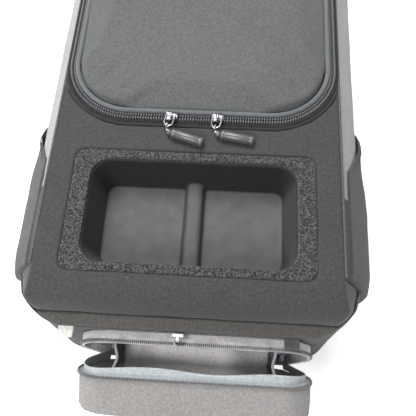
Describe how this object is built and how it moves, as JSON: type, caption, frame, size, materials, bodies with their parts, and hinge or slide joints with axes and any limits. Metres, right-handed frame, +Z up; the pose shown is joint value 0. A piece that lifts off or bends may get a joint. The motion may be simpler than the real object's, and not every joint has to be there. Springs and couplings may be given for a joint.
{
  "type": "tank bag",
  "caption": "Motorcycle tank bag: padded zip lid, moulded top panel with a framed well, stretch side pockets and a drop-down zip pocket at the rider's end.",
  "frame": {"origin": "middle of the underside, on the surface the bag stands on", "axes": "+Z up, +Y towards the far end with the carry handle, +X to the rider's right"},
  "size_m": [0.3032, 0.505, 0.164],
  "materials": {
    "base_fabric": "matt anti-slip weave",
    "stiff_board": "matt sheet",
    "lining_fabric": "thin coated lining",
    "side_fabric": "light grey woven",
    "end_fabric": "black woven",
    "moulded_fabric": "smooth pressed knit on foam",
    "loop_pile": "fuzzy loop pile",
    "piping_cord": "rolled edge",
    "binding_tape": "ribbed tape",
    "stretch_fabric": "stretch knit",
    "lid_fabric": "padded woven",
    "zip_tape": "woven tape",
    "zip_coil": "nylon coil",
    "slider_metal": "worn nickel",
    "pull_plastic": "moulded, satin",
    "pull_cord": "thin cord",
    "clear_pull": "translucent drop",
    "pocket_fabric": "warm grey woven",
    "pale_lining": "pale coated lining",
    "rim_tape": "pale tape",
    "gusset_fabric": "thin woven web",
    "webbing": "ribbed webbing"
  },
  "bodies": {
    "bag": {"base_board": "stiff_board", "base_panel": "base_fabric", "body_lining": "lining_fabric", "carry_handle": "webbing", "far_end_panel": "side_fabric", "gusset_left": "gusset_fabric", "gusset_right": "gusset_fabric", "hook_loop_frame": "loop_pile", "lid_zip_body_coil": "zip_coil", "lid_zip_body_tape": "zip_tape", "moulded_top_panel": "moulded_fabric", "near_binding": "binding_tape", "near_end_panel": "end_fabric", "pocket_back_lining": "pale_lining", "pocket_frame": "end_fabric", "pocket_frame_coil": "zip_coil", "side_panel_left": "side_fabric", "side_panel_right": "side_fabric", "side_piping_left": "piping_cord", "side_piping_right": "piping_cord", "side_pocket_binding_left": "binding_tape", "side_pocket_binding_right": "binding_tape", "side_pocket_left": "stretch_fabric", "side_pocket_right": "stretch_fabric", "slit_zip_coil": "zip_coil", "slit_zip_tape": "zip_tape", "strap_loop_far": "webbing", "strap_loop_left": "webbing", "strap_loop_right": "webbing", "zip_end_tab_left": "webbing", "zip_end_tab_right": "webbing"},
    "lid": {"lid_pad": "lid_fabric", "lid_lining": "lining_fabric", "lid_piping": "piping_cord", "lid_zip_lid_coil": "zip_coil", "lid_hinge_strip": "lid_fabric"},
    "lid_slider_l": {"lid_slider_left": "slider_metal"},
    "lid_ring_l": {"lid_ring_left": "slider_metal"},
    "lid_pull_l": {"lid_pull_left": "pull_plastic"},
    "lid_slider_r": {"lid_slider_right": "slider_metal"},
    "lid_ring_r": {"lid_ring_right": "slider_metal"},
    "lid_pull_r": {"lid_pull_right": "pull_plastic"},
    "pocket": {"pocket_shell": "pocket_fabric", "pocket_lining": "pale_lining", "pocket_rim_tape": "rim_tape", "pocket_rim_coil": "zip_coil", "pocket_slip_sheet": "pale_lining"},
    "slit_slider": {"slit_zip_slider": "slider_metal"},
    "slit_pull": {"slit_zip_pull": "pull_cord"},
    "pocket_slider_l": {"pocket_slider_left": "slider_metal"},
    "pocket_pull_l": {"pocket_pull_left": "pull_cord"},
    "pocket_slider_r": {"pocket_slider_right": "slider_metal"},
    "pocket_pull_r": {"pocket_pull_right": "clear_pull"}
  },
  "joints": [
    {"name": "lid_hinge", "type": "hinge", "parent": "bag", "child": "lid", "pos_m": [0, 0.2035, 0.1507], "axis": [-1, 0, 0], "range_deg": [0, 110]},
    {"name": "lid_slider_l_slide", "type": "slide", "parent": "lid", "child": "lid_slider_l", "axis": [1, 0, 0], "range_m": [-0.034, 0]},
    {"name": "lid_ring_l_hinge", "type": "hinge", "parent": "lid_slider_l", "child": "lid_ring_l", "pos_m": [-0.024, -0.02, 0.1583], "axis": [-0.9563, 0.2924, 0], "range_deg": [0, 90]},
    {"name": "lid_pull_l_hinge", "type": "hinge", "parent": "lid_ring_l", "child": "lid_pull_l", "pos_m": [-0.02713, -0.03024, 0.155], "axis": [-0.9563, 0.2924, 0], "range_deg": [0, 90]},
    {"name": "lid_slider_r_slide", "type": "slide", "parent": "lid", "child": "lid_slider_r", "axis": [1, 0, 0], "range_m": [0, 0.038]},
    {"name": "lid_ring_r_hinge", "type": "hinge", "parent": "lid_slider_r", "child": "lid_ring_r", "pos_m": [0.018, -0.02, 0.1583], "axis": [-0.9848, 0.1736, 0], "range_deg": [0, 90]},
    {"name": "lid_pull_r_hinge", "type": "hinge", "parent": "lid_ring_r", "child": "lid_pull_r", "pos_m": [0.01614, -0.03054, 0.155], "axis": [-0.9848, 0.1736, 0], "range_deg": [0, 90]},
    {"name": "pocket_hinge", "type": "hinge", "parent": "bag", "child": "pocket", "pos_m": [0.008, -0.217, 0.03], "axis": [1, 0, 0], "range_deg": [-24, 0], "deforming": ["gusset_left", "gusset_right"]},
    {"name": "slit_slider_slide", "type": "slide", "parent": "bag", "child": "slit_slider", "axis": [1, 0, 0], "range_m": [-0.07, 0.07]},
    {"name": "slit_pull_hinge", "type": "hinge", "parent": "slit_slider", "child": "slit_pull", "pos_m": [-0.006, -0.2107, 0.1052], "axis": [-1, 0, 0], "range_deg": [0, 60]},
    {"name": "pocket_slider_l_slide", "type": "slide", "parent": "bag", "child": "pocket_slider_l", "axis": [1, 0, 0], "range_m": [0, 0.06]},
    {"name": "pocket_pull_l_hinge", "type": "hinge", "parent": "pocket_slider_l", "child": "pocket_pull_l", "pos_m": [-0.069, -0.2125, 0.0827], "axis": [-1, 0, 0], "range_deg": [0, 40]},
    {"name": "pocket_slider_r_slide", "type": "slide", "parent": "bag", "child": "pocket_slider_r", "axis": [1, 0, 0], "range_m": [-0.06, 0]},
    {"name": "pocket_pull_r_hinge", "type": "hinge", "parent": "pocket_slider_r", "child": "pocket_pull_r", "pos_m": [0.085, -0.2125, 0.0827], "axis": [-1, 0, 0], "range_deg": [0, 40]}
  ]
}
